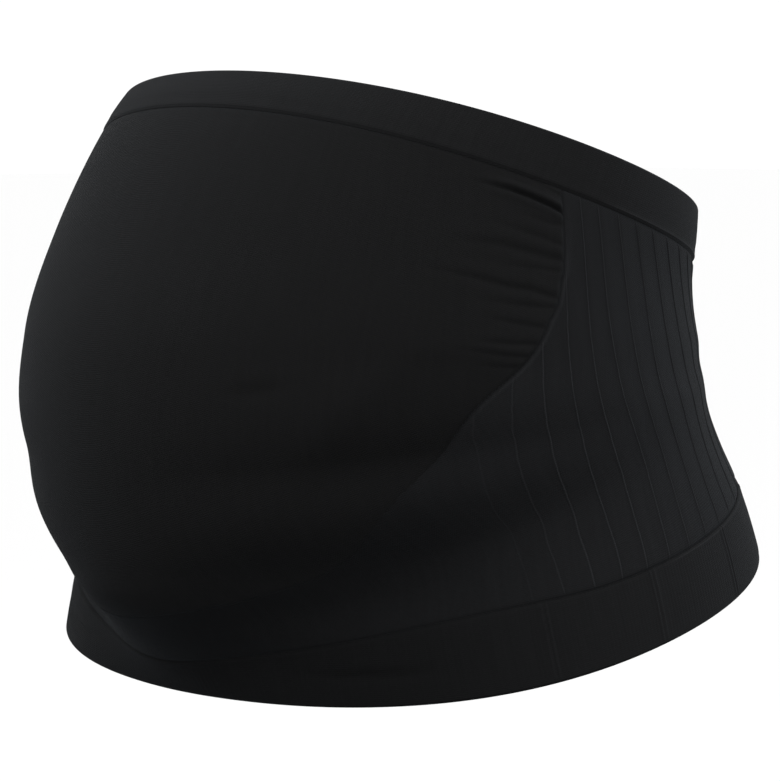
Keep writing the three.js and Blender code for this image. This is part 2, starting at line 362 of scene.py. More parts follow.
# How far the pleat lines of these wales have drifted to the back at each height, in degrees.
DRIFT_WALES = (64.9, 76.7, 88.5, 100.3, 112.1, 123.9)
DRIFT_ROWS = (
    (0.00,  0.00,  0.00,  0.00,  0.00,  0.00,  0.00),
    (0.08, -0.90,  0.13,  0.32,  0.34, -0.00,  0.15),
    (0.16, -2.55, -0.99,  0.20,  0.37,  0.30,  0.23),
    (0.22, -2.38, -1.89, -0.30, -0.05,  0.38,  0.22),
    (0.26, -0.87, -1.05, -0.34, -0.57,  0.02,  0.08),
    (0.30, -0.07, -0.10,  0.01, -0.80, -0.41, -0.15),
    (0.34, -0.25, -0.29, -0.58, -1.53, -1.14, -0.51),
    (0.38,  0.06, -0.48, -1.37, -2.45, -2.15, -1.02),
    (0.42,  1.42,  0.70, -0.64, -1.89, -1.90, -1.35),
    (0.46,  2.22,  1.31, -0.16, -1.37, -1.49, -1.55),
    (0.51,  2.35,  1.01, -0.67, -1.90, -2.11, -2.07),
    (0.57,  2.19,  0.25, -1.85, -3.11, -3.54, -2.89),
    (0.64,  2.75,  0.51, -1.98, -3.10, -3.64, -3.26),
    (0.72,  3.03,  0.72, -2.09, -2.99, -3.53, -3.38),
    (0.86,  3.03,  0.72, -2.09, -2.99, -3.53, -3.38),
    (1.00,  3.03,  0.72, -2.09, -2.99, -3.53, -3.38),
)
# The height of the hem band at each angle from the front, in millimetres.
HEM_HEIGHT_ROWS = (
    (-30.0, 28.1), (-20.0, 23.6), (-10.0, 20.2), (0.0, 19.0), (10.0, 20.2),
    (20.0, 23.6), (30.0, 28.1), (40.0, 32.0), (50.0, 34.0), (60.0, 33.8),
    (72.0, 32.2), (85.0, 31.5), (110.0, 31.5), (145.0, 32.5), (180.0, 33.0),
)
# The height of the belly panel's edge at each share of the panel's half width.
EDGE_ROWS = (
    (0.00, 0.13), (0.26, 0.15), (0.50, 0.23), (0.67, 0.34), (0.80, 0.46),
    (0.90, 0.57), (0.95, 0.66), (0.985, 0.77), (0.997, 0.88), (1.00, 1.00),
)
# The wales and heights along each crease, and its depth and half width in millimetres.
CREASE_ROWS = (
    ((59.0, 66.4, 70.7, 74.9, 77.6), (0.953, 0.958, 0.956, 0.951, 0.943), 1.35, 0.85),
    ((69.0, 72.5, 75.0, 77.6), (0.996, 0.993, 0.988, 0.982), 0.30, 0.9),
    ((68.0, 74.9, 77.6), (0.912, 0.910, 0.914), 0.22, 1.1),
    ((62.0, 73.0, 77.6), (0.880, 0.870, 0.862), 0.30, 1.4),
    ((54.0, 65.5, 68.9, 72.9, 77.6), (0.824, 0.834, 0.831, 0.828, 0.824), 0.42, 1.8),
    ((64.0, 77.6), (0.790, 0.796), 0.22, 1.2),
    ((50.0, 61.3, 66.0, 70.4, 74.3, 77.0), (0.760, 0.749, 0.740, 0.739, 0.727, 0.722), 0.45, 1.5),
    ((60.0, 72.5, 77.0), (0.703, 0.697, 0.700), 0.28, 1.3),
    ((62.0, 74.0), (0.662, 0.643), 0.32, 1.2),
    ((60.0, 72.0), (0.604, 0.601), 0.34, 1.2),
    ((57.0, 65.8, 70.0), (0.590, 0.573, 0.568), 0.30, 1.1),
    ((61.5, 68.5), (0.549, 0.543), 0.25, 1.0),
)


def table_curve(rows: Sequence[Sequence[float]], column: int = 1) -> SmoothCurve:
    """The curve of one column of a table over the first."""
    table = np.array(rows, float)
    return SmoothCurve(table[:, 0], table[:, column])


@dataclass(frozen=True)
class BodyForm:
    """The form of the body that the band is stretched over."""

    hip_half_width: float = 180 * MM
    torso_reach: float = 118 * MM
    belly_reach: float = 68 * MM
    back_reach: float = 120 * MM
    hem_front: float = -32 * MM
    hem_side: float = 1.5 * MM
    hem_back: float = 38 * MM
    height_front: float = 265 * MM
    height_side: float = 192 * MM
    height_back: float = 124 * MM
    slope_step: float = 0.002

    @cached_property
    def section(self) -> dict[str, SmoothCurve]:
        """The curves of the body's section over the level, by name."""
        return {name: table_curve(SECTION_ROWS, 1 + i) for i, name in enumerate(SECTION_NAMES)}

    def point(self, angle: Array, level: Array) -> Array:
        """Points of the band's outer face.

        Args:
            angle: Angles in radians, 0 at the front and a quarter turn at the wearer's left.
            level: From 0 at the hem to 1 at the top edge.

        Returns:
            The points, with x, y and z along the last axis.
        """
        angle, level = np.broadcast_arrays(np.asarray(angle, float), np.asarray(level, float))
        at = {name: curve(level) for name, curve in self.section.items()}
        half_width = self.hip_half_width * at["width"] / (1 - at["squareness"])
        bump = self.belly_reach * at["belly"] * ((1 + np.cos(angle)) / 2) ** at["sharpness"]
        front = -self.torso_reach * at["torso"]
        back = self.back_reach * at["back"]
        x = half_width * (np.sin(angle) + at["squareness"] * np.sin(3 * angle))
        y = around_body(angle, front, 0.0, back) - bump
        z = around_body(
            angle,
            self.hem_front + self.height_front * at["front_rise"],
            self.hem_side + self.height_side * at["side_rise"],
            self.hem_back + self.height_back * at["back_rise"],
        )
        return np.stack([x, y, z], -1)

    def normal(self, angle: Array, level: Array) -> Array:
        """Directions out of the cloth at those places."""
        step = self.slope_step
        sideways = self.point(angle + step, level) - self.point(angle - step, level)
        upwards = self.point(angle, level + step) - self.point(angle, level - step)
        out = np.cross(sideways, upwards)
        return out / np.linalg.norm(out, axis=-1, keepdims=True)


@dataclass(frozen=True)
class Cloth:
    """The knitted cloth on the body: where its wales, grooves and panel edge run."""

    form: BodyForm = field(default_factory=BodyForm)
    top_band_height: float = 22 * MM
    seam_lap: float = 0.3 * MM
    panel_half_angle: float = 77.6
    girth: float = 930 * MM
    groove_depth: float = 0.40 * MM
    groove_width: float = 1.1 * MM
    # Strength of the shade painted into the grooves along the seams.
    groove_shade: float = 0.32
    faint_edge: float = 0.15
    clear_edge: float = 0.65
    edge_clears: Span = (40.0, 64.0)
    # Wales over which the painted shadow under the bump fades out.
    bump_shadow_fades: Span = (26.0, 88.0)
    overrun: float = 0.02
    angle_parts: int = 720
    level_parts: int = 400
    edge_parts: int = 2000

    @cached_property
    def lean(self) -> SmoothCurve:
        """How far the wales lean to the back, in degrees, over the height."""
        return table_curve(LEAN_ROWS)

    @cached_property
    def _edge(self) -> tuple[Array, Array]:
        """Wales and heights along the belly panel's edge, from the front to the top groove."""
        share = np.linspace(0.0, 1.0, self.edge_parts)
        up = np.minimum(table_curve(EDGE_ROWS)(share), 1.0)
        return share * self.panel_half_angle, up

    @cached_property
    def _walk(self) -> tuple[Array, Array, Array]:
        """Angles, levels, and the length of cloth up to each level at each angle."""
        angles = np.linspace(-math.pi, math.pi, self.angle_parts + 1)
        levels = np.linspace(-self.overrun, 1 + self.overrun, self.level_parts + 1)
        points = self.form.point(angles[:, None], levels[None, :])
        strides = np.linalg.norm(np.diff(points, axis=1), axis=-1)
        lengths = np.concatenate([np.zeros((len(angles), 1)), np.cumsum(strides, axis=1)], axis=1)
        return angles, levels, lengths

    @property
    def per_degree(self) -> float:
        """Width of cloth in a degree of the girth."""
        return self.girth / TURN

    def edge_up(self, wale: Array) -> Array:
        """Height of the belly panel's edge at a wale, 1 beside the panel."""
        return np.interp(np.abs(wale), *self._edge)

    def edge_wale(self, up: Array) -> Array:
        """Wale of the belly panel's edge at a height."""
        wales, ups = self._edge
        return np.interp(up, ups, wales)

    def band_height(self, edge: Edge, angle: Array) -> Array:
        """Height along the cloth of an edge's band: the hem band is drawn in under the bump."""
        if edge is Edge.TOP:
            return np.full_like(angle, self.top_band_height)
        return table_curve(HEM_HEIGHT_ROWS)(np.abs(half_turn(np.degrees(angle), TURN))) * MM

    def level_from(self, edge: Edge, angle: Array, share: float, further: float) -> Array:
        """Level that lies some way along the cloth from one of its edges.

        Args:
            edge: The edge that the way starts from.
            angle: Angles in radians.
            share: Share of the edge band's height.
            further: Distance to add to it.

        Returns:
            The level at each angle.
        """
        angles, levels, lengths = self._walk
        distances = self.band_height(edge, angles) * share + further
        start, way = (0.0, 1.0) if edge is Edge.HEM else (1.0, -1.0)
        found = [
            np.interp(np.interp(start, levels, row) + way * distance, row, levels)
            for row, distance in zip(lengths, distances)
        ]
        return np.interp(half_turn(angle), angles, found)

    def angle(self, wale: Array, up: Array | float) -> Array:
        """Angle on the body of a wale at a height."""
        return np.radians(wale + self.lean(up) * np.sin(np.radians(wale)))

    def panel_place(self, wale: Array, up: Array) -> tuple[Array, Array]:
        """Points and outward directions of places between the two grooves."""
        angle = self.angle(wale, up)
        low = self.level_from(Edge.HEM, angle, 1.0, -self.seam_lap / 2)
        high = self.level_from(Edge.TOP, angle, 1.0, -self.seam_lap / 2)
        level = low + (high - low) * up
        return self.form.point(angle, level), self.form.normal(angle, level)

    def edge_strength(self, wale: Array) -> Array:
        """How clearly the belly panel's edge shows: it fades out under the bump."""
        gain = self.clear_edge - self.faint_edge
        return self.faint_edge + gain * smooth_step(np.abs(wale), *self.edge_clears)

    def bump_shadow(self, wale: Array) -> Array:
        """Painted shadow under the bump, from 0 to 1: the cloth is darker there."""
        return 1 - smooth_step(np.abs(wale), *self.bump_shadow_fades)

    def rise(self, wale: Array) -> Array:
        """Length of cloth between the two grooves along a wale."""
        angles, levels, lengths = self._walk
        whole = [np.interp(1.0, levels, row) - np.interp(0.0, levels, row) for row in lengths]
        angle = half_turn(np.radians(wale))
        hem_band = self.band_height(Edge.HEM, angle)
        return np.interp(angle, angles, whole) - hem_band - self.top_band_height

    def from_panel_edge(self, wale: Array, up: Array) -> Array:
        """Distance along the cloth from the belly panel's edge, on either side of it."""
        across = np.abs(np.abs(wale) - self.edge_wale(up)) * self.per_degree
        along = np.abs(self.edge_up(wale) - up) * self.rise(wale)
        beside = np.abs(wale) > self.panel_half_angle
        slanted = across * along / np.maximum(np.hypot(across, along), TINY)
        return np.where(beside, across, slanted)

    def seam(self, wale: Array, up: Array) -> Array:
        """How deep a place lies in the groove round a panel, from 0 to 1."""
        seam = bell(self.from_panel_edge(wale, up), self.groove_width) * self.edge_strength(wale)
        for share in (up, 1.0 - up):
            seam = np.maximum(seam, bell(share * self.rise(wale), self.groove_width))
        return seam


# --------------------------------------------------------------------------- meshes


def store(mesh: bpy.types.Mesh, name: str, values: Array) -> None:
    """Stores a number or a direction for each point of a mesh."""
    kind, key = ("FLOAT", "value") if values.ndim == 1 else ("FLOAT_VECTOR", "vector")
    data = mesh.attributes.new(name, kind, "POINT").data
    data.foreach_set(key, values.astype(np.float32).ravel())


@dataclass
class Shell:
    """A closed wall of cloth from a grid of places: an outer face, an inner face and their rims."""

    outer: Array
    inner: Array
    wale: Array
    height: Array
    closed: bool
    facts: dict[str, Array] = field(default_factory=dict)
    out: Array | None = None

    def _faces(self) -> Array:
        """Quads of both faces and the rims, as corners' indices."""
        rows, columns = self.wale.shape
        index = np.arange(rows * columns).reshape(rows, columns)
        wide = np.concatenate([index, index[:, :1]], axis=1) if self.closed else index
        a, b = wide[:-1, :-1].ravel(), wide[:-1, 1:].ravel()
        c, d = wide[1:, 1:].ravel(), wide[1:, :-1].ravel()
        back = rows * columns
        outer = np.stack([a, b, c, d], 1)
        inner = np.stack([a, d, c, b], 1) + back
        rims = [wide[0, :], wide[-1, ::-1]]
        if not self.closed:
            rims += [index[:, -1], index[::-1, 0]]
        walls = [np.stack([r[:-1], r[:-1] + back, r[1:] + back, r[1:]], 1) for r in rims]
        return np.concatenate([outer, inner, *walls])

    def mesh(self, name: str, u_scale: float) -> bpy.types.Mesh:
        """The shell's mesh, with its facts as attributes and its UV map in metres of cloth.

        Args:
            name: The mesh's name.
            u_scale: Width of cloth in a degree of the girth.

        Returns:
            The mesh.
        """
        mesh = bpy.data.meshes.new(name)
        points = np.concatenate([self.outer.reshape(-1, 3), self.inner.reshape(-1, 3)])
        faces = self._faces()
        mesh.vertices.add(len(points))
        mesh.vertices.foreach_set("co", points.astype(np.float32).ravel())
        mesh.loops.add(faces.size)
        mesh.loops.foreach_set("vertex_index", faces.ravel().astype(np.int32))
        mesh.polygons.add(len(faces))
        mesh.polygons.foreach_set("loop_start", np.arange(0, faces.size, 4, dtype=np.int32))
        mesh.update(calc_edges=True)
        self._write_uv(mesh, faces, u_scale)
        for key, values in {"wale": self.wale, **self.facts}.items():
            store(mesh, key, np.concatenate([values.ravel()] * 2))
        store(mesh, "outside", np.repeat([1.0, 0.0], self.wale.size))
        if self.out is not None:
            store(mesh, "out", np.concatenate([self.out.reshape(-1, 3)] * 2))
        mesh.shade_smooth()
        return mesh

    def _write_uv(self, mesh: bpy.types.Mesh, faces: Array, u_scale: float) -> None:
        """Writes the UV map: along the courses and up the wales."""
        wale = np.concatenate([self.wale.ravel()] * 2)[faces]
        height = np.concatenate([self.height.ravel()] * 2)[faces]
        if self.closed:
            low = wale.min(axis=1, keepdims=True)
            crosses = wale.max(axis=1, keepdims=True) - low > TURN / 2
            wale = np.where(crosses & (wale < low + TURN / 2), wale + TURN, wale)
        uv = np.stack([wale * u_scale, height], -1).astype(np.float32)
        mesh.uv_layers.new(name=UV_NAME).data.foreach_set("uv", uv.ravel())


def placed(mesh: bpy.types.Mesh) -> Piece:
    """A new object at the origin that holds the mesh and has its name."""
    piece = bpy.data.objects.new(mesh.name, mesh)
    bpy.context.scene.collection.objects.link(piece)
    return piece


# --------------------------------------------------------------------------- finishes


@dataclass(frozen=True)
class KnitFinish:
    """Matt black yarn, knitted: V-shaped stitches, uneven wales, fuzz, sheen."""

    name: str
    colour: tuple[float, float, float]
    wale_pitch: float = 0.95 * MM
    course_pitch: float = 0.85 * MM
    stitch_depth: float = 0.12 * MM
    # Tone in the gaps between stitches and its rise up the legs: shade painted into the gaps.
    stitch_shading: Span = (0.72, 0.5)
    streaks: float = 0.24
    streak_scales: Span = (420.0, 26.0)
    streak_relief: float = 0.8
    mottle: float = 0.18
    mottle_scale: float = 22.0
    fuzz: float = 0.05 * MM
    fuzz_scale: float = 1500.0
    fuzz_tone: float = 0.5
    # How much the shade painted into creases, grooves, dents and tucks darkens the colour.
    crease_shade_strength: float = 0.62
    # How much the highlight painted on crests, cords, ribs and beads lightens the colour; rib
    # valleys get painted shade.
    ridge_light_strength: float = 0.95
    roughness: float = 0.88
    uneven_roughness: Span = (0.12, 0.10)
    sheen: float = 0.035
    sheen_roughness: float = 0.38
    sheen_tint: tuple[float, float, float, float] = (0.70, 0.82, 0.95, 1.0)
    specular: float = 0.07
    noise_roughness: float = 0.55

    def _noise(self, kit: NodeKit, vector: Socket, scale: float, detail: float) -> Value:
        """Noise about zero, from -0.5 to 0.5."""
        fed = {"Vector": vector, "Scale": scale, "Detail": detail}
        fed["Roughness"] = self.noise_roughness
        noise = kit.add("ShaderNodeTexNoise", {"noise_dimensions": "3D"}, fed)
        return kit.value(noise, "Fac") - 0.5

    def _stitches(self, kit: NodeKit, u: Value, v: Value) -> Value:
        """Height of a plain knit stitch, from 0 in the gaps to 1 on the legs of each V."""
        leg = abs((u / self.wale_pitch).cycle() * 2.0 - 1.0)
        course = (v / self.course_pitch + leg * 0.5).cycle()
        loop = (course * math.pi).math("SINE")
        leg_crown = leg * 2.0 - 1.0
        return loop * (1.0 - leg_crown * leg_crown)

    def _fact(self, kit: NodeKit, name: str) -> Value:
        """A number that is stored on the piece, 0 where it isn't."""
        return kit.value(kit.add("ShaderNodeAttribute", {"attribute_name": name}), "Fac")

    def material(self) -> Material:
        """Builds the finish.

        Returns:
            The material.
        """
        material = bpy.data.materials.new(self.name)
        material.use_nodes = True
        kit = NodeKit(material.node_tree)
        uv = kit.add("ShaderNodeUVMap", {"uv_map": UV_NAME})
        place = kit.add("ShaderNodeSeparateXYZ", None, {0: uv.outputs["UV"]})
        u, v = kit.value(place, "X"), kit.value(place, "Y")
        solid = kit.add("ShaderNodeTexCoord").outputs["Object"]
        across, along = self.streak_scales
        stretched = kit.add("ShaderNodeCombineXYZ", None, {"X": u * across, "Y": v * along})
        stitch = self._stitches(kit, u, v)
        streak = self._noise(kit, stretched.outputs[0], 1.0, 2.0)
        cloud = self._noise(kit, solid, self.mottle_scale, 3.0)
        grain = self._noise(kit, solid, self.fuzz_scale, 2.0)
        # The gaps between stitches are darker: painted shade.
        darkest, gain = self.stitch_shading
        tone = (stitch * gain + darkest) * (streak * self.streaks + 1.0)
        tone = tone * (cloud * self.mottle + 1.0) * (grain * self.fuzz_tone + 1.0)
        # Painted shade in creases, grooves, dents and the tucks behind pleats.
        tone = tone * (1.0 - self._fact(kit, "shaded_crease") * self.crease_shade_strength)
        # Painted highlight on pleat crests, the corded edge, ribs and beads, with painted shade in
        # rib valleys; along the pleats it also stands for the lighter stretched yarn.
        tone = tone * (self._fact(kit, "ridge_light_and_shade") * self.ridge_light_strength + 1.0)
        # Painted shadow under the bump, and a darker zone along the lower side edges of the belly
        # panel.
        tone = tone * (1.0 - self._fact(kit, "shade"))
        fed = {0: Vector(self.colour), "Scale": tone}
        coloured = kit.add("ShaderNodeVectorMath", {"operation": "SCALE"}, fed)
        height = stitch * self.stitch_depth + streak * (self.stitch_depth * self.streak_relief)
        height = height + grain * self.fuzz
        bump = kit.add("ShaderNodeBump", None, {"Strength": 1.0, "Distance": 1.0, "Height": height})
        cloud_share, grain_share = self.uneven_roughness
        shader = kit.add(
            "ShaderNodeBsdfPrincipled",
            None,
            {
                "Base Color": coloured.outputs[0],
                "Roughness": self.roughness + cloud * cloud_share + grain * grain_share,
                "Specular IOR Level": self.specular,
                "Sheen Weight": self.sheen,
                "Sheen Roughness": self.sheen_roughness,
                "Sheen Tint": self.sheen_tint,
                "Normal": bump.outputs[0],
            },
        )
        kit.add("ShaderNodeOutputMaterial", None, {"Surface": shader.outputs[0]})
        return material


class Finish(Enum):
    """The band's finishes, by the record's material slot."""

    BELLY = KnitFinish("smooth_knit", (0.0098, 0.0099, 0.0103))
    SUPPORT = KnitFinish("pleated_knit", (0.0122, 0.0126, 0.0136), streaks=0.34, sheen=0.045)
    TOP = KnitFinish("band_knit", (0.0118, 0.0120, 0.0126), wale_pitch=1.0 * MM, streaks=0.30)
    # A darker copy of the top band's knit: painted shade on the lower band.
    HEM = KnitFinish("hem_knit", (0.0110, 0.0113, 0.0120), wale_pitch=1.0 * MM, streaks=0.30)


# --------------------------------------------------------------------------- pieces


@dataclass(frozen=True)
class Crease:
    """A line from inside the belly panel to the panel's edge, where the cloth tucks in."""

    wales: tuple[float, ...]
    ups: tuple[float, ...]
    depth: float
    half_width: float
    lead: float = 1.5
    full_share: float = 0.55

    def across(self, wale: Array, up: Array, rise: Array) -> Array:
        """Distance above the line, and below it where it is negative."""
        return (up - np.interp(np.abs(wale), self.wales, self.ups)) * rise

    def fade(self, wale: Array) -> Array:
        """Rises from 0 just inwards of the inner end to 1 past the middle of the line."""
        inner, outer = self.wales[0], self.wales[-1]
        full = inner + self.full_share * (outer - inner)
        return smooth_step(np.abs(wale), inner - self.lead, full)


@dataclass
class BellyPanel:
    """The smooth panel over the bump, ruched along its sides."""

    cloth: Cloth
    wall: float = 1.6 * MM
    corner_share: float = 0.62
    rows: int = 188
    columns: int = 256
    side_crowding: float = 0.75
    tuck: float = 0.25 * MM
    inner_share: float = 0.8
    swell_height: float = 0.7 * MM
    swell_reach: float = 9.0 * MM
    swell_starts: Span = (0.48, 0.62)
    dent: Span = (29.5, 0.517)
    dent_size: Span = (10.0 * MM, 3.4 * MM)
    dent_depth: float = 0.6 * MM
    # Strength of the shade painted into the dent.
    dent_shade: float = 0.2
    folds: tuple[tuple[float, float, float], ...] = ((0.7, 2.6, 1.9), (0.3, -2.8, 2.0))
    crease_shade: float = 0.6
    deep_crease: float = 1.6 * MM
    side_darkening: float = 0.16
    side_darkening_fades: Span = (40 * MM, 62 * MM)
    side_darkening_ups: tuple[Span, Span] = ((0.26, 0.40), (0.56, 0.60))
    creases: tuple[Crease, ...] = tuple(
        Crease(wales, ups, depth * MM, half * MM) for wales, ups, depth, half in CREASE_ROWS
    )

    def _grid(self) -> tuple[Array, Array]:
        """Wales and heights of the panel's grid, which follows its edge all round."""
        cloth = self.cloth
        corner = self.corner_share * cloth.panel_half_angle
        low = float(cloth.edge_up(corner))
        climb = np.linspace(0.0, 1.0, self.rows + 1)
        side_up = low + (1.0 - low) * climb
        side_wale = cloth.edge_wale(side_up)
        even = np.linspace(-1.0, 1.0, self.columns + 1)
        k = self.side_crowding
        share = (1 - k) * even + k * np.sin(even * math.pi / 2)
        wale = (side_wale + self.tuck / cloth.per_degree)[:, None] * share[None, :]
        dip = cloth.edge_up(corner * share) - low - self.tuck / cloth.rise(corner * share)
        up = side_up[:, None] + dip[None, :] * (1 - climb)[:, None]
        return wale, up

    def _relief(self, wale: Array, up: Array) -> tuple[Array, Array]:
        """Lift of the cloth off the body, and the shade painted into its creases, groove and dent,
        from 0 to 1.
        """
        cloth = self.cloth
        rise = cloth.rise(wale)
        lift = np.zeros_like(wale)
        dark = np.zeros_like(wale)
        for shaded_crease in self.creases:
            away = shaded_crease.across(wale, up, rise) / shaded_crease.half_width
            strength = shaded_crease.fade(wale)
            fold = sum(high * bell(away - place, width) for high, place, width in self.folds)
            tuck = bell(away, 1.0)
            lift += shaded_crease.depth * strength * (fold - tuck)
            # Each crease also gets shade painted into its tuck, darker for deeper creases up to a
            # limit.
            shade = min(self.crease_shade, shaded_crease.depth / self.deep_crease)
            dark = np.maximum(dark, strength * tuck * shade)
        near_side = np.exp(-cloth.from_panel_edge(wale, up) / self.swell_reach)
        lift += self.swell_height * near_side * smooth_step(up, *self.swell_starts)
        seam = cloth.seam(wale, up)
        lift = lift * (1 - seam) - cloth.groove_depth * seam
        lift[:, [0, -1]] -= self.tuck
        lift[0, :] -= self.tuck
        side = (wale - self.dent[0]) * cloth.per_degree / self.dent_size[0]
        tall = (up - self.dent[1]) * rise / self.dent_size[1]
        dimple = np.exp(-(side**2) - tall**2)
        # Shade painted into the groove round the panel and into the dent, kept with that in the
        # creases.
        dark = np.maximum(np.maximum(dark, seam * cloth.groove_shade), dimple * self.dent_shade)
        return lift - self.dent_depth * dimple, np.clip(dark, 0, 1)

    def _shade(self, wale: Array, up: Array) -> Array:
        """How much darker the knit is along the lower part of the side edges."""
        inside = (self.cloth.edge_wale(up) - np.abs(wale)) * self.cloth.per_degree
        near = 1 - smooth_step(inside, *self.side_darkening_fades)
        return self.side_darkening * near * plateau(up, *self.side_darkening_ups)

    def build(self) -> list[Piece]:
        """Builds the panel.

        Returns:
            The panel's pieces.
        """
        wale, up = self._grid()
        points, out = self.cloth.panel_place(wale, up)
        lift, shaded_crease = self._relief(wale, up)
        shell = Shell(
            outer=points + out * lift[..., None],
            inner=points + out * (lift * self.inner_share - self.wall)[..., None],
            wale=wale,
            height=up * self.cloth.rise(wale),
            closed=False,
            # Painted shade in the creases, the groove and the dent, and the darker zone along the
            # lower side edges.
            facts={"shaded_crease": shaded_crease, "shade": self._shade(wale, up)},
        )
        panel = placed(shell.mesh("belly_panel_knit", self.cloth.per_degree))
        panel.data.materials.append(Finish.BELLY.value.material())
        return [panel]

    def dress(self, pieces: Sequence[Piece]) -> None:
        panel = pieces[0]
        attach(panel, BODY)
        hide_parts("belly_panel")


@dataclass
class SupportPanel:
    """The firmer panel round the sides and back and under the bump, with raised pleat lines."""

    cloth: Cloth
    wall: float = 1.6 * MM
    pitch: float = TURN / 61
    start_wale: float = 45.0
    full_wale: float = 71.5
    ridge_height: float = 0.36 * MM
    ridge_half_width: float = 0.62 * MM
    crest_highlight: float = 0.9
    valley_depth: float = 0.07 * MM
    # Strength of the shade painted into the tuck behind each pleat.
    valley_place: float = 1.35
    valley_shade: float = 0.12
    free_from: Span = (0.2 * MM, 2.5 * MM)
    drift_shown: tuple[Span, Span] = ((36.0, 60.0), (125.0, 178.0))
    drift_limit: float = 25.0
    rows: int = 68
    row_crowding: float = 0.35
    front_step: float = 1.1
    front_gap: float = 0.4
    pleat_stops: tuple[float, ...] = (-1.5, -1.0, -0.62, -0.4, -0.2, 0.0, 0.2, 0.4, 0.62, 1.0, 1.5)
    gap_stops: tuple[float, ...] = (-0.5, -0.28, 0.28)
    corner_up: float = 0.52
    corner_parts: int = 44
    least_step: float = 0.05
    # Painted shadow under the bump: its strength and the heights over which it fades out upwards.
    bump_shadow_strength: float = 0.40
    bump_shadow_ups: Span = (0.10, 0.42)
    cord_height: float = 0.35 * MM
    cord_place: float = 1.7 * MM
    cord_width: float = 0.7 * MM
    # Strength of the highlight painted on the corded edge.
    cord_highlight: float = 0.45
    cord_ups: tuple[Span, Span] = ((0.35, 0.60), (0.97, 1.0))

    @property
    def first_wale(self) -> float:
        """Wale of one pleat at the hem, from which the others follow at the pitch."""
        return 180.0 - self.pitch / 2

    def _drift(self, line: Array, up: Array) -> Array:
        """How far a pleat line has drifted to the back at a height, in degrees.

        Args:
            line: The line's wale at the hem, in degrees.
            up: The height.

        Returns:
            The drift: it differs from the front pleats to those at the back.
        """
        side = np.abs(line)
        table = np.stack([table_curve(DRIFT_ROWS, 1 + i)(up) for i in range(len(DRIFT_WALES))], -1)
        step = DRIFT_WALES[1] - DRIFT_WALES[0]
        place = np.clip((side - DRIFT_WALES[0]) / step, 0.0, len(DRIFT_WALES) - 1.001)
        low = np.floor(place).astype(int)[..., None]
        before = np.take_along_axis(table, low, -1)[..., 0]
        after = np.take_along_axis(table, low + 1, -1)[..., 0]
        drift = before + (after - before) * (place - low[..., 0])
        return np.sign(line) * plateau(side, *self.drift_shown) * drift

    def _columns(self) -> Array:
        """Columns all round, by their wales at the hem: closer over the pleats and the ruche."""
        cloth = self.cloth
        centres = np.arange(self.first_wale, self.start_wale, -self.pitch)
        over = np.array(self.pleat_stops) * MM / cloth.per_degree
        between = np.array(self.gap_stops) * self.pitch
        pleats = (centres[:, None] + np.concatenate([over, between])[None, :]).ravel()
        plain = np.arange(0.0, centres.min() - self.front_gap * self.pitch, self.front_step)
        climb_up = np.linspace(self.corner_up, 1.0, self.corner_parts)
        edge = cloth.edge_wale(climb_up)
        climb = halved(
            edge - self.drift_limit,
            edge + self.drift_limit,
            lambda line: line + self._drift(line, climb_up) - edge,
        )
        left = np.unique(np.round(np.concatenate([plain, pleats, climb, [180.0]]), 3))
        left = left[(left >= 0) & (left <= 180.0)]
        steps = np.concatenate([[1.0], np.diff(left)])
        left = left[(steps > self.least_step) | np.isin(left, np.round(climb, 3))]
        return np.concatenate([-left[::-1][1:-1], left])

    def _relief(self, wale: Array, up: Array) -> tuple[Array, Array, Array]:
        """Lift off the body, shade painted into the groove and a highlight painted on the corded
        edge, of each place.
        """
        cloth = self.cloth
        seam = cloth.seam(wale, up)
        beside = bell(cloth.from_panel_edge(wale, up) - self.cord_place, self.cord_width)
        cord = beside * plateau(up, *self.cord_ups)
        lift = self.cord_height * cord - cloth.groove_depth * seam
        # Shade painted into the groove, and a highlight painted on the corded edge.
        return lift, np.clip(seam * cloth.groove_shade, 0, 1), cord * self.cord_highlight

    def _pleats(self, material: Material) -> GeometryKit:
        """Tree that raises a pleat line along every so many wales, with a tuck behind it."""
        kit = GeometryKit(
            "raised_pleats",
            {
                "Pitch": self.pitch,
                "First Wale": self.first_wale,
                "Start Wale": self.start_wale,
                "Full Wale": self.full_wale,
                "Width Per Degree": self.cloth.per_degree,
                "Height": self.ridge_height,
                "Half Width": self.ridge_half_width,
                "Valley": self.valley_depth,
            },
        )
        pitch, first, start, full, per_degree, height, half_width, valley = kit.sizes
        side = abs(kit.number("line"))
        away = ((side - first) / pitch).from_nearest() * pitch * per_degree
        come = ((side - start) / (full - start)).math("MAXIMUM", 0.0).at_most(1.0)
        there = come * come * kit.number("outside") * kit.number("free")
        crest = (away / half_width).hump() * there
        tuck = ((away - half_width * self.valley_place) / half_width).hump() * there
        raised = kit.raised(crest * height - tuck * valley)
        # Painted highlight along each pleat's crest and the corded edge; along the crest it also
        # stands for the lighter stretched yarn.
        ridge_light_and_shade = (crest * self.crest_highlight + kit.number("cord")).at_most(1.0)
        # Shade painted into the tuck behind each pleat, added to that in the groove.
        shaded_crease = (kit.number("shaded_crease") + tuck * self.valley_shade).at_most(1.0)
        kit.finish(kit.stored(kit.stored(raised, "ridge_light_and_shade", ridge_light_and_shade), "shaded_crease", shaded_crease), material)
        return kit

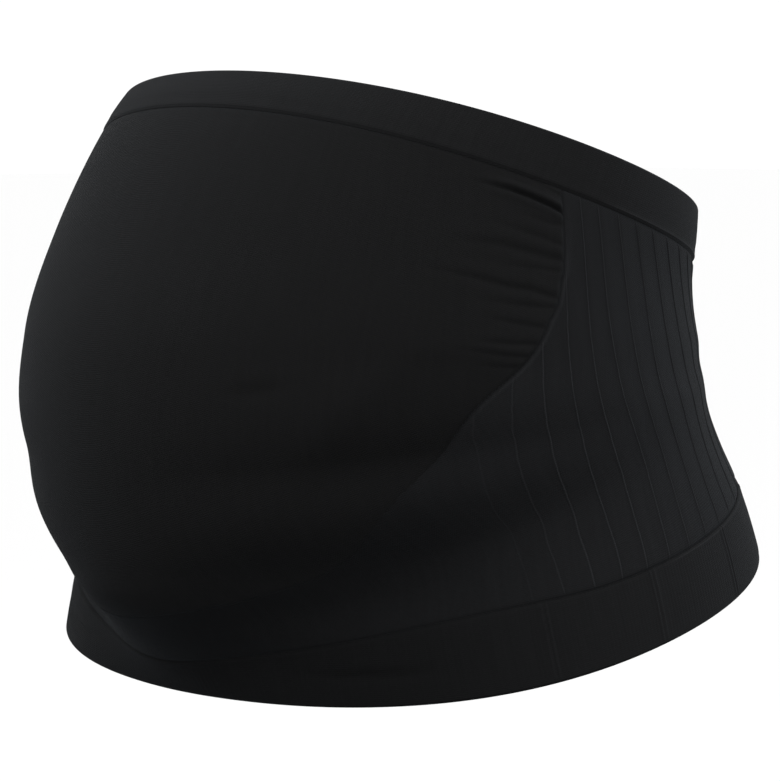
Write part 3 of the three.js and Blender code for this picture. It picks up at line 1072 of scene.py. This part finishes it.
    def build(self) -> list[Piece]:
        """Builds the panel.

        Returns:
            The panel's pieces.
        """
        columns = self._columns()
        share = np.linspace(0.0, 1.0, self.rows + 1)
        share = share - self.row_crowding * np.sin(2 * math.pi * share) / (2 * math.pi)
        side = np.abs(columns)
        top = halved(
            np.full_like(side, self.cloth.edge_up(0.0)),
            np.ones_like(side),
            lambda up: self.cloth.edge_wale(up) - side - self._drift(side, up),
        )
        up = share[:, None] * top[None, :]
        line = np.repeat(columns[None, :], self.rows + 1, axis=0)
        wale = line + self._drift(line, up)
        points, out = self.cloth.panel_place(wale, up)
        lift, shaded_crease, cord = self._relief(wale, up)
        # Painted shadow under the bump, fading out upwards.
        bump_shadow = self.cloth.bump_shadow(wale) * (1 - smooth_step(up, *self.bump_shadow_ups))
        rise = self.cloth.rise(wale)
        edge = self.cloth.from_panel_edge(wale, up)
        inside = np.minimum(np.minimum(up * rise, (1 - up) * rise), edge)
        facts = {"shaded_crease": shaded_crease, "cord": cord, "free": smooth_step(inside, *self.free_from)}
        shell = Shell(
            outer=points + out * lift[..., None],
            inner=points - out * self.wall,
            wale=wale,
            height=up * rise,
            closed=True,
            facts={**facts, "line": line, "shade": self.bump_shadow_strength * bump_shadow},
            out=out,
        )
        panel = placed(shell.mesh("support_panel_knit", self.cloth.per_degree))
        self._pleats(Finish.SUPPORT.value.material()).bake(panel)
        return [panel]

    def dress(self, pieces: Sequence[Piece]) -> None:
        panel = pieces[0]
        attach(panel, BODY)
        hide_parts("support_panel")


class BandPoint(NamedTuple):
    """A point of a band's section: how far it is from the free edge, its offset and rib share."""

    share: float
    further: float
    offset: float
    rib: float


@dataclass
class EdgeBand:
    """A double-knit band along one edge of the cloth, folded at its free edge and finely ribbed."""

    cloth: Cloth
    edge: Edge
    finish: Finish
    name: str
    node: str
    flat: tuple[float, float]
    wall: float = 2.4 * MM
    proud: float = 0.5 * MM
    puff: float = 0.25 * MM
    fold_parts: int = 8
    face_shares: tuple[float, ...] = (0.0, 0.05, 0.11, 0.18, 0.26, 0.34, 0.42, 0.49, 0.56, 0.63)
    groove_stops: tuple[float, ...] = (5.0, 3.0, 2.2, 1.7, 1.3, 0.95, 0.55, 0.2, 0.0)
    groove_depth: float = 0.28 * MM
    rib_pitch: float = 2.0 * MM
    rib_height: float = 0.04 * MM
    rib_lean: float = 0.0
    rib_light_and_shade: float = 0.05
    fold_rib: float = 0.35
    rib_growth: float = 9.0
    groove_rib: float = 0.2
    columns_per_rib: int = 4
    accent_first: float = 60.6
    accent_pitch: float = 22.8
    accent_gap: float = 2.6 * MM
    accent_share: float = 0.32
    accent_height: float = 0.0
    pair_highlight: float = 0.28
    dent_depth: float = 0.0
    dent_wale: float = 31.0
    dent_spread: float = 9.0
    dent_reach: float = 14.0 * MM
    dent_half_width: float = 1.9 * MM
    dent_shade: float = 0.5
    # Strength of the painted shadow under the bump.
    bump_shadow_strength: float = 0.0
    bead_starts: Span = (84.0, 96.0)
    bead_height: float = 0.30 * MM
    bead_place: float = 1.25 * MM
    bead_half_width: float = 0.45 * MM
    bead_highlight: float = 0.8

    @property
    def rib_count(self) -> int:
        """Ribs all round."""
        return round(self.cloth.girth / self.rib_pitch)

    def _section(self) -> list[BandPoint]:
        """The points of the band's outer face, up from the fold."""
        fold, rim = self.wall / 2, self.cloth.seam_lap / 2
        points = []
        for i in range(self.fold_parts):
            turn = math.pi / 2 * i / self.fold_parts
            offset = self.proud - fold + fold * math.sin(turn)
            rib = self.fold_rib * math.sin(turn)
            points.append(BandPoint(0.0, fold * (1 - math.cos(turn)), offset, rib))
        for share in self.face_shares:
            further = fold * (1 - share) + rim * share
            offset = self.proud + self.puff * math.sin(math.pi * share)
            rib = min(1.0, self.fold_rib + share * self.rib_growth)
            points.append(BandPoint(share, further, offset, rib))
        for back in self.groove_stops:
            seam = float(bell(back * MM, self.cloth.groove_width))
            offset = self.proud * (1 - seam) - self.groove_depth * seam
            points.append(BandPoint(1.0, rim - back * MM, offset, 1 - (1 - self.groove_rib) * seam))
        return points

    def _dent(self, wale: Array, reach: Array) -> Array:
        """Depth of the soft crease under each side of the bump, from 0 to 1."""
        side = (np.abs(wale) - self.dent_wale) / self.dent_spread
        line = (reach - self.dent_reach) / self.dent_half_width
        return np.exp(-(side**2) - line**2)

    def _ribs(self, material: Material) -> GeometryKit:
        """Tree that ribs the band along its wales, with a pair of heavier ribs here and there."""
        kit = GeometryKit(
            "band_ribs",
            {
                "Rib Count": self.rib_count,
                "Rib Height": self.rib_height,
                "Rib Lean": self.rib_lean,
                "First Pair": self.accent_first,
                "Pair Pitch": self.accent_pitch,
                "Pair Gap": self.accent_gap,
                "Pair Height": self.accent_height,
                "Width Per Degree": self.cloth.per_degree,
            },
        )
        count, height, lean, first, pitch, gap, pair_height, per_degree = kit.sizes
        wale, reach, share = kit.number("wale"), kit.number("reach"), kit.number("rib")
        turns = wale * count / TURN + reach * lean
        wave = (turns * (2 * math.pi)).math("COSINE")
        side = abs(wale)
        away = ((side - first) / pitch).from_nearest() * pitch * per_degree
        pair = ((abs(away) - gap / 2.0) / (gap * self.accent_share)).hump()
        pair = pair * side.above(first - pitch / 2.0) * kit.number("outside")
        pair = pair * pair_height.above(0.0)
        raised = kit.raised((wave * height + pair * pair_height) * share)
        # Painted highlight on rib crests and painted shade in rib valleys, plus painted highlights
        # on the heavier pairs and on the bead.
        ridge_light_and_shade = (wave * self.rib_light_and_shade + pair * self.pair_highlight) * share
        ridge_light_and_shade = ridge_light_and_shade + kit.number("bead") * self.bead_highlight
        kit.finish(kit.stored(raised, "ridge_light_and_shade", ridge_light_and_shade), material)
        return kit

    def build(self) -> list[Piece]:
        """Builds the band.

        Returns:
            The band's pieces.
        """
        cloth = self.cloth
        columns = self.rib_count * self.columns_per_rib
        wales = np.sort(half_turn(np.arange(columns) * TURN / columns, TURN))
        angle = cloth.angle(wales, 0.0 if self.edge is Edge.HEM else 1.0)
        height = cloth.band_height(self.edge, angle)
        section = self._section()
        if self.edge is Edge.TOP:
            section.reverse()
        share, further, offset, rib = np.array(section).T[:, :, None]
        reach = height * share + further
        ways = [cloth.level_from(self.edge, angle, at.share, at.further) for at in section]
        level = np.stack(ways)
        points, out = cloth.form.point(angle, level), cloth.form.normal(angle, level)
        wale = np.repeat(wales[None, :], len(section), axis=0)
        dent = self._dent(wale, reach) if self.dent_depth else np.zeros_like(wale)
        beaded = smooth_step(np.abs(wale), *self.bead_starts)
        bead = beaded * bell(height - reach - self.bead_place, self.bead_half_width)
        fold = self.wall / 2
        past = np.maximum(0.0, 1 - reach / fold)
        inside = self.proud - fold - fold * np.sqrt(1 - past * past)
        lift = offset - self.dent_depth * dent + self.bead_height * bead
        # Shade painted into the groove beside the band.
        groove = cloth.groove_shade * bell(height - reach, cloth.groove_width)
        shell = Shell(
            outer=points + out * lift[..., None],
            inner=points + out * inside[..., None],
            wale=wale,
            height=reach,
            closed=True,
            facts={
                # Shade painted into the soft crease under the bump and into the groove.
                "shaded_crease": np.clip(dent * self.dent_shade + groove, 0, 1),
                "rib": np.broadcast_to(rib, wale.shape),
                "reach": reach,
                "bead": bead,
                # Painted shadow under the bump.
                "shade": self.bump_shadow_strength * cloth.bump_shadow(wale),
            },
            out=out,
        )
        band = placed(shell.mesh(self.name, cloth.per_degree))
        self._ribs(self.finish.value.material()).bake(band)
        return [band]

    def dress(self, pieces: Sequence[Piece]) -> None:
        band = pieces[0]
        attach(band, BODY)
        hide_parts(self.node)


class Seam(Enum):
    """The lines along which two knits are linked."""

    HEM = "hem_linking"
    TOP = "top_linking"
    RUCHE = "panel_linking"


@dataclass
class LinkingStitches:
    """The chain of small loops that links two knits along a groove."""

    cloth: Cloth
    seam: Seam
    finish: Finish
    stitch_pitch: float = 1.9 * MM
    yarn_radius: float = 0.17 * MM
    yarn_sides: int = 5
    loop_parts: int = 5
    loop_share: float = 0.62
    loop_sizes: Span = (0.85, 1.12)
    arch: float = 0.30 * MM
    sway: float = 0.25 * MM
    depth: float = 0.50 * MM
    seed: int = 7
    path_step: float = 1.0 * MM
    ruche_top: float = 0.985
    ruche_end: float = 52.0
    ruche_parts: int = 200

    def _path(self) -> tuple[Array, Array, int]:
        """Points and outward directions of the seam line, and its open runs, 0 for a ring."""
        cloth = self.cloth
        if self.seam is Seam.RUCHE:
            end = float(cloth.edge_up(self.ruche_end))
            up = np.linspace(self.ruche_top, end, self.ruche_parts)
            wale = cloth.edge_wale(up)
            points, out = cloth.panel_place(np.concatenate([wale, -wale]), np.tile(up, 2))
            return points, out, 2
        wale = np.arange(-180.0, 180.0, self.path_step / cloth.per_degree)
        up = np.zeros_like(wale) if self.seam is Seam.HEM else np.ones_like(wale)
        points, out = cloth.panel_place(wale, up)
        return points, out, 0

    def _chain(self, material: Material) -> GeometryKit:
        """Tree that lays one small yarn loop after another along the seam line."""
        kit = GeometryKit(
            "linking_chain",
            {
                "Stitch Pitch": self.stitch_pitch,
                "Yarn Radius": self.yarn_radius,
                "Arch": self.arch,
                "Sway": self.sway,
                "Seed": self.seed,
            },
        )
        pitch, radius, arch, sway, seed = kit.sizes
        line = kit.add("GeometryNodeMeshToCurve", None, {"Mesh": kit.geometry})
        fed = {"Curve": line.outputs[0], "Length": pitch}
        along = kit.add("GeometryNodeResampleCurve", {"mode": "LENGTH"}, fed)
        half = pitch * self.loop_share

        def corner(x: object, y: object, z: object) -> Socket:
            """A point of the loop."""
            return kit.add("ShaderNodeCombineXYZ", None, {"X": x, "Y": y, "Z": z}).outputs[0]

        loop = kit.add(
            "GeometryNodeCurvePrimitiveBezierSegment",
            {"mode": "POSITION"},
            {
                "Resolution": self.loop_parts,
                "Start": corner(half * -1.0, sway * -1.0, radius * -0.5),
                "Start Handle": corner(half * -0.6, sway * -1.2, arch * 1.5),
                "End Handle": corner(half * 0.6, sway * 1.2, arch * 1.5),
                "End": corner(half, sway, radius * -0.5),
            },
        )
        fed = {"Resolution": self.yarn_sides, "Radius": radius}
        circle = kit.add("GeometryNodeCurvePrimitiveCircle", None, fed)
        fed = {"Curve": loop.outputs[0], "Profile Curve": circle.outputs[0], "Fill Caps": True}
        yarn = kit.add("GeometryNodeCurveToMesh", None, fed)
        tangent = kit.add("GeometryNodeInputTangent").outputs[0]
        turn = kit.add(
            "FunctionNodeAxesToRotation",
            {"primary_axis": "Z", "secondary_axis": "X"},
            {"Primary Axis": kit.direction("out"), "Secondary Axis": tangent},
        )
        fed = {"Min": self.loop_sizes[0], "Max": self.loop_sizes[1], "Seed": seed}
        sizes = kit.add("FunctionNodeRandomValue", {"data_type": "FLOAT"}, fed)
        laid = kit.add(
            "GeometryNodeInstanceOnPoints",
            None,
            {
                "Points": along.outputs[0],
                "Instance": yarn.outputs[0],
                "Rotation": turn.outputs[0],
                "Scale": next(o for o in sizes.outputs if o.enabled and o.type == "VALUE"),
            },
        )
        kit.finish(laid.outputs[0], material)
        return kit

    def build(self) -> list[Piece]:
        """Builds the chain.

        Returns:
            The chain as one piece.
        """
        points, out, runs = self._path()
        points = points - out * self.depth
        count = len(points)
        ends = {count // runs * (i + 1) for i in range(runs)} if runs else set()
        pairs = [(i, (i + 1) % count) for i in range(count) if i + 1 not in ends]
        mesh = bpy.data.meshes.new(self.seam.value)
        mesh.from_pydata(points.tolist(), pairs, [])
        store(mesh, "out", out)
        chain = placed(mesh)
        self._chain(self.finish.value.material()).bake(chain)
        return [chain]

    def dress(self, pieces: Sequence[Piece]) -> None:
        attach(pieces[0], BODY)


# --------------------------------------------------------------------------- the studio


@dataclass(frozen=True)
class SoftLight:
    """A large soft light that faces the band; its way goes right, back and up from the aim."""

    name: str
    way: tuple[float, float, float]
    size: float
    power: float
    colour: tuple[float, float, float] = (1.0, 1.0, 1.0)

    def build(self, aim: Vector, back: Vector) -> None:
        """Adds the light.

        Args:
            aim: The point that the camera and the lights face.
            back: Direction from there to the camera.
        """
        up = Vector((0, 0, 1))
        right = up.cross(back).normalized()
        place = aim + right * self.way[0] + back * self.way[1] + up * self.way[2]
        light = bpy.data.lights.new(self.name, "AREA")
        light.shape = "DISK"
        light.size = self.size
        light.energy = self.power
        light.color = self.colour
        lamp = bpy.data.objects.new(self.name, light)
        lamp.location = place
        lamp.rotation_mode = "QUATERNION"
        lamp.rotation_quaternion = (aim - place).to_track_quat("-Z", "Y")
        bpy.context.scene.collection.objects.link(lamp)


COOL = (0.86, 0.93, 1.0)
LIGHTS = (
    SoftLight("key_light", (-0.45, 0.8, 1.7), 0.9, 5.6),
    SoftLight("left_light", (-1.2, -0.45, 0.95), 0.7, 2.2, COOL),
    SoftLight("right_light", (1.2, -0.7, 0.3), 0.6, 3.4, COOL),
    SoftLight("fill_light", (1.1, 1.0, 0.55), 0.9, 2.4),
)


@dataclass
class Studio:
    """A pale floor well below the band, soft light from all round and the camera."""

    aim: tuple[float, float, float] = (0.0, 0.0, 0.095)
    azimuth: float = 48.0
    elevation: float = 4.5
    distance: float = 1.5
    focal_length: float = 153.5
    shift: tuple[float, float] = (-0.0205, -0.0134)
    floor_level: float = -0.42
    floor_half_width: float = 30.0
    floor_colour: tuple[float, float, float, float] = (0.94, 0.94, 0.94, 1.0)
    sky: float = 1.05
    ground: float = 0.06
    horizon: Span = (-0.45, -0.08)

    def _back(self) -> Vector:
        """Direction from the band to the camera."""
        a, e = math.radians(self.azimuth), math.radians(self.elevation)
        return Vector((math.sin(a) * math.cos(e), -math.cos(a) * math.cos(e), math.sin(e)))

    def _camera(self) -> None:
        """Adds the camera."""
        data = bpy.data.cameras.new("camera")
        data.sensor_width = 36.0
        data.lens = self.focal_length
        data.shift_x, data.shift_y = self.shift
        data.clip_end = 100.0
        camera = bpy.data.objects.new("camera", data)
        back = self._back()
        camera.location = Vector(self.aim) + back * self.distance
        camera.rotation_mode = "QUATERNION"
        camera.rotation_quaternion = (-back).to_track_quat("-Z", "Y")
        bpy.context.scene.collection.objects.link(camera)
        bpy.context.scene.camera = camera

    def _floor(self) -> None:
        """Adds the floor, which throws no light back up under the band."""
        half, level = self.floor_half_width, self.floor_level
        mesh = bpy.data.meshes.new("floor")
        signs = ((-1, -1), (1, -1), (1, 1), (-1, 1))
        corners = [(x * half, y * half, level) for x, y in signs]
        mesh.from_pydata(corners, [], [(0, 1, 2, 3)])
        material = bpy.data.materials.new("pale_floor")
        material.use_nodes = True
        kit = NodeKit(material.node_tree)
        fed = {"Base Color": self.floor_colour, "Roughness": 0.9, "Specular IOR Level": 0.0}
        shader = kit.add("ShaderNodeBsdfPrincipled", None, fed)
        kit.add("ShaderNodeOutputMaterial", None, {"Surface": shader.outputs[0]})
        mesh.materials.append(material)
        floor = placed(mesh)
        floor.visible_diffuse = False
        floor.visible_glossy = False

    def _world(self) -> None:
        """Lights the band from a white surround that is dim below the horizon."""
        world = bpy.data.worlds.new("surround")
        world.use_nodes = True
        kit = NodeKit(world.node_tree)
        around = kit.add("ShaderNodeTexCoord").outputs["Generated"]
        height = kit.value(kit.add("ShaderNodeSeparateXYZ", None, {0: around}), "Z")
        low, high = self.horizon
        fed = {"From Min": low, "From Max": high, "To Min": self.ground, "To Max": self.sky}
        smooth = {"interpolation_type": "SMOOTHSTEP"}
        risen = kit.add("ShaderNodeMapRange", smooth, {"Value": height, **fed})
        fed = {"Color": (1, 1, 1, 1), "Strength": risen.outputs[0]}
        background = kit.add("ShaderNodeBackground", None, fed)
        kit.add("ShaderNodeOutputWorld", None, {"Surface": background.outputs[0]})
        bpy.context.scene.world = world

    def build(self) -> None:
        """Builds the floor, the light and the camera."""
        self._camera()
        self._floor()
        self._world()
        for light in LIGHTS:
            light.build(Vector(self.aim), self._back())
        bpy.context.scene.view_settings.view_transform = "Standard"


def report(pieces: Sequence[Piece]) -> None:
    """Logs each piece's name and number of triangles."""
    for piece in pieces:
        triangles = sum(len(polygon.vertices) - 2 for polygon in piece.data.polygons)
        LOG.info("%s: %d triangles", piece.name, triangles)


def main() -> None:
    """Builds the studio and the band's parts in order."""
    logging.basicConfig(level=logging.INFO, format="%(name)s: %(message)s")
    Studio().build()
    cloth = Cloth()
    parts = [
        BellyPanel(cloth),
        SupportPanel(cloth),
        EdgeBand(
            cloth,
            Edge.HEM,
            Finish.HEM,
            "hem_band_knit",
            "bottom_band",
            flat=(0.76, 0.036),
            accent_height=0.35 * MM,
            dent_depth=0.9 * MM,
            groove_depth=0.36 * MM,
            bump_shadow_strength=0.42,
        ),
        EdgeBand(
            cloth,
            Edge.TOP,
            Finish.TOP,
            "top_band_knit",
            "top_band",
            flat=(0.64, 0.022),
            rib_pitch=1.8 * MM,
            rib_lean=140.0,
        ),
        LinkingStitches(cloth, Seam.HEM, Finish.HEM),
        LinkingStitches(cloth, Seam.TOP, Finish.TOP, seed=11),
        LinkingStitches(cloth, Seam.RUCHE, Finish.SUPPORT, seed=5),
    ]
    for part in parts:
        pieces = part.build()
        part.dress(pieces)
        report(pieces)


if __name__ == "__main__":
    main()
